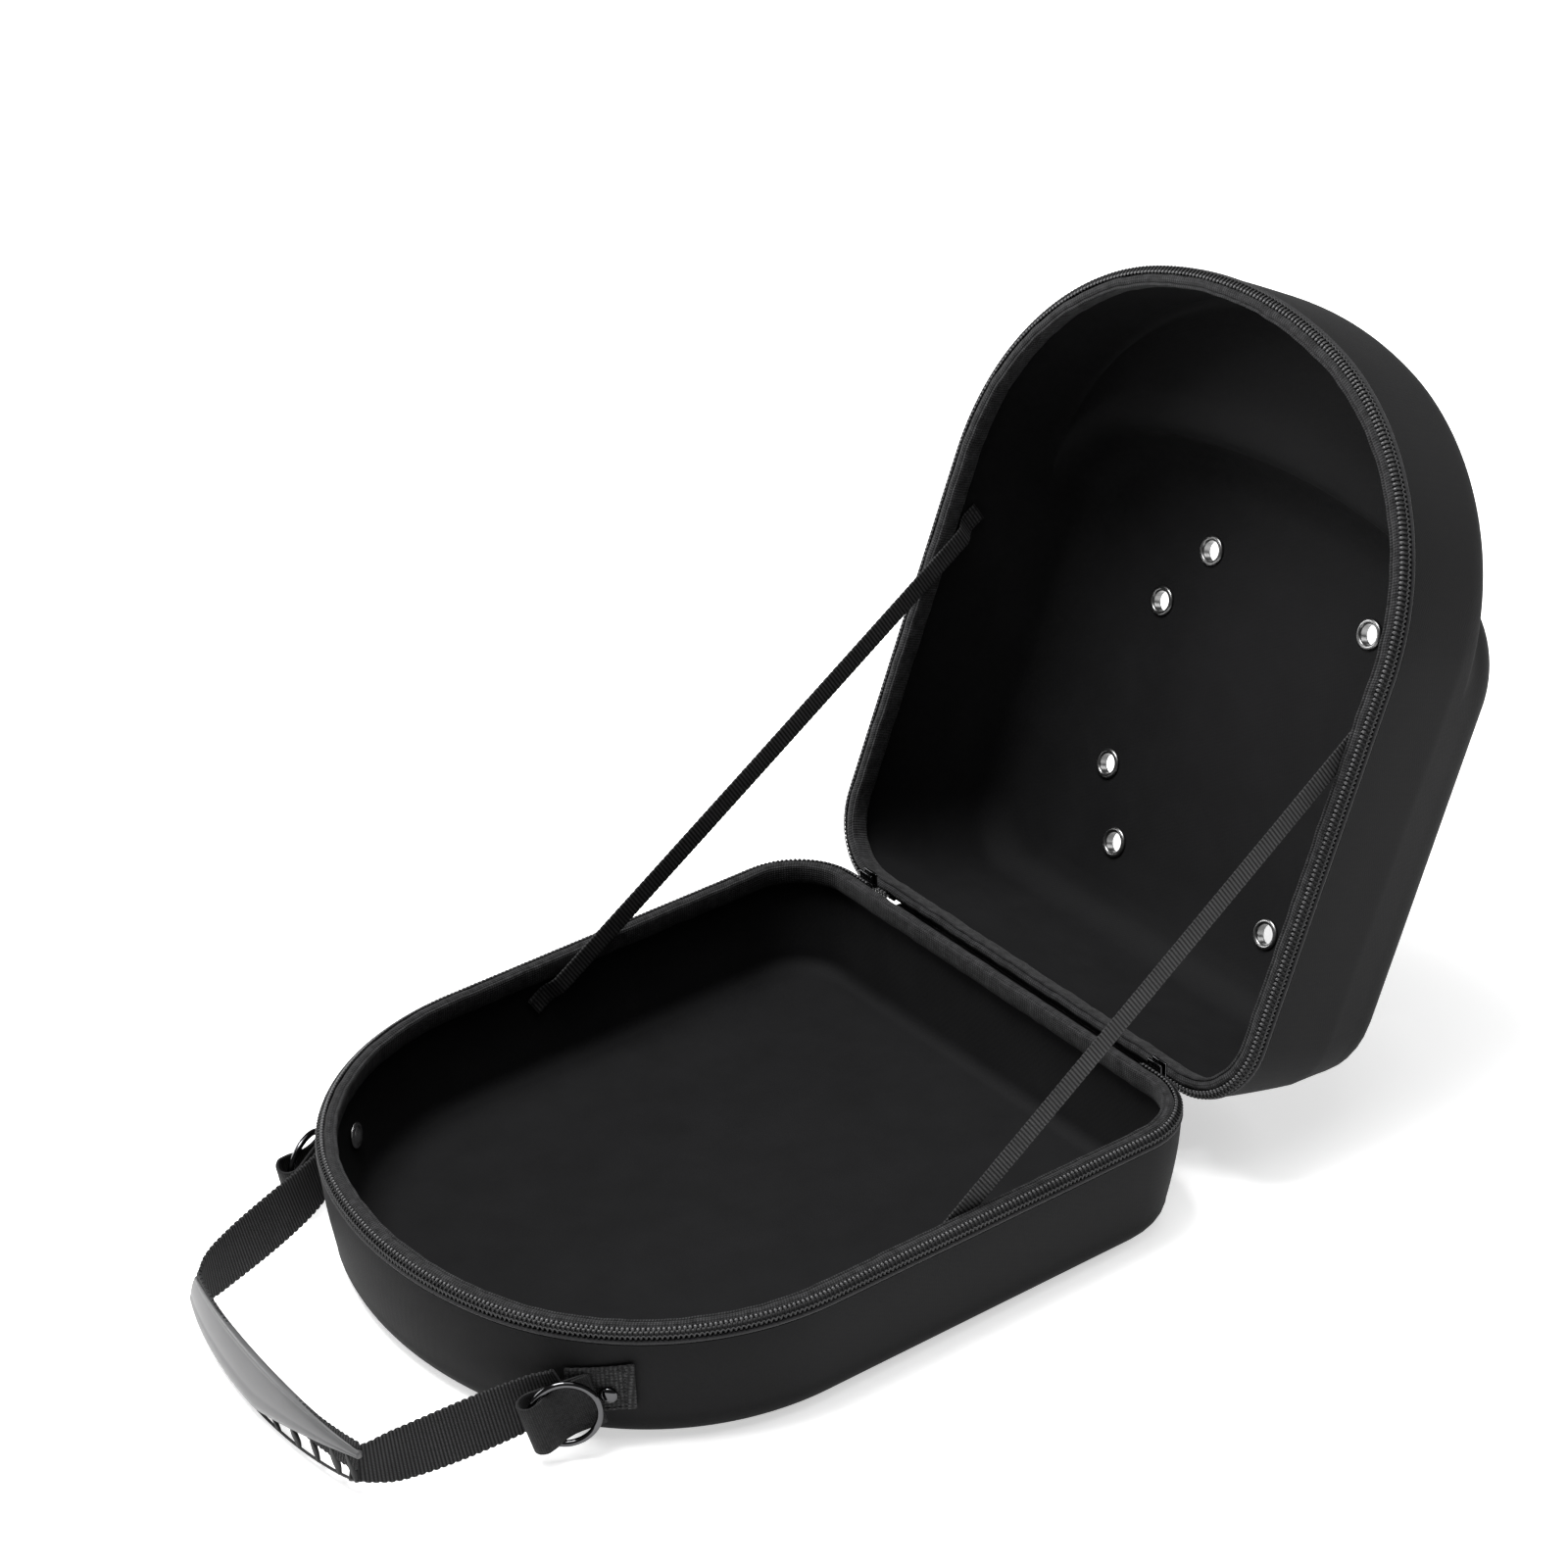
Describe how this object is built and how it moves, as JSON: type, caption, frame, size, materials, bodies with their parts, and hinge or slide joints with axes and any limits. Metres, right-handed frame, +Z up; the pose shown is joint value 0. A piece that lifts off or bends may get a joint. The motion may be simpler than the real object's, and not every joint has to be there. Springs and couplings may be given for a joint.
{
  "type": "baseball cap carrier case",
  "caption": "Moulded zip-up carrier case for baseball caps, shown open and empty, with vent eyelets, stay straps and a webbing handle.",
  "frame": {"origin": "middle of the tray's underside, on the surface it stands on", "axes": "-Y from the middle of the tray towards its arched end and the handle, +Y towards the hinge and the open lid, +Z up, +X to the side whose stay strap meets the tray nearer to the arched end"},
  "size_m": [0.2912, 0.598, 0.3572],
  "materials": {
    "shell": "matt cloth laminated on moulded foam",
    "binding": "matt woven edge binding",
    "webbing": "ribbed woven webbing",
    "zip": "satin nylon coil",
    "gunmetal": "polished black nickel",
    "nickel": "polished nickel",
    "grip": "satin moulded grip"
  },
  "bodies": {
    "root": {"tray_shell": "shell", "tray_binding": "binding", "tray_zip": "zip", "lid_shell": "shell", "lid_binding": "binding", "lid_zip": "zip", "eyelet_arch_inner_right": "nickel", "eyelet_arch_outer_right": "nickel", "eyelet_hinge_outer_right": "nickel", "eyelet_hinge_inner_right": "nickel", "eyelet_arch_inner_left": "nickel", "eyelet_arch_outer_left": "nickel", "eyelet_hinge_outer_left": "nickel", "eyelet_hinge_inner_left": "nickel", "hinge_strip": "binding", "anchor_patch_right": "webbing", "ring_loop_right": "webbing", "strap_ring_right": "gunmetal", "rivet_right": "gunmetal", "handle_strap_right": "webbing", "stay_strap_right": "webbing", "zip_slider_right": "gunmetal", "anchor_patch_left": "webbing", "ring_loop_left": "webbing", "strap_ring_left": "gunmetal", "rivet_left": "gunmetal", "handle_strap_left": "webbing", "stay_strap_left": "webbing", "zip_slider_left": "gunmetal", "handle_grip": "grip"}
  },
  "joints": []
}
